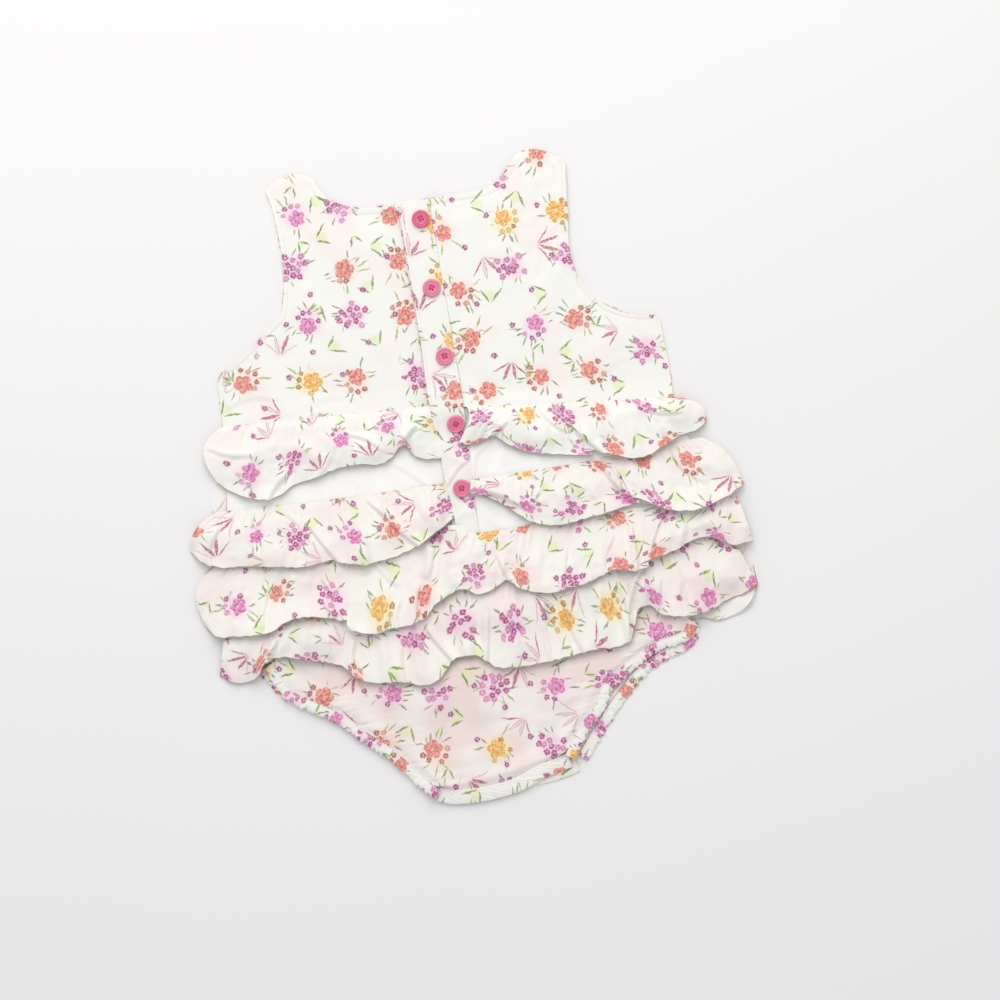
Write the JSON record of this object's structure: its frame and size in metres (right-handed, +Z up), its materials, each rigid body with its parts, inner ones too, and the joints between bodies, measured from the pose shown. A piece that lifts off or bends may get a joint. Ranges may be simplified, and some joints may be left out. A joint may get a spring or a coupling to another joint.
{
  "type": "baby romper",
  "caption": "Sleeveless baby romper laid flat with its back up: button-back bodice, gathered ruffle tiers over the seat and elastic leg openings, in flower-printed cotton.",
  "frame": {"origin": "on the surface that the romper lies on, under the middle of the garment", "axes": "+Y towards the neck, +Z up out of the back of the garment, +X towards the right of the picture when the neck is at the top"},
  "size_m": [0.3581, 0.4153, 0.0224],
  "materials": {
    "printed_cotton": "matt poplin printed with small flowers and leaves",
    "plain_cotton": "matt plain white poplin",
    "pink_button": "satin pink plastic"
  },
  "bodies": {
    "root": {"front_panel": "printed_cotton", "leg_casing_front_left": "printed_cotton", "leg_casing_front_right": "printed_cotton", "crotch_band_front": "printed_cotton", "seat_base_left": "plain_cotton", "back_bodice_left": "printed_cotton", "seat_base_right": "plain_cotton", "back_bodice_right": "printed_cotton", "crotch_band_back": "printed_cotton", "leg_casing_back_left": "printed_cotton", "leg_casing_back_right": "printed_cotton", "seat_lower": "printed_cotton", "button_band": "printed_cotton", "button_1": "pink_button", "button_2": "pink_button", "button_3": "pink_button", "button_4": "pink_button", "button_5": "pink_button", "ruffle_4": "printed_cotton", "ruffle_3": "printed_cotton", "ruffle_2_left": "printed_cotton", "ruffle_1_left": "printed_cotton", "ruffle_2_right": "printed_cotton", "ruffle_1_right": "printed_cotton"}
  },
  "joints": []
}
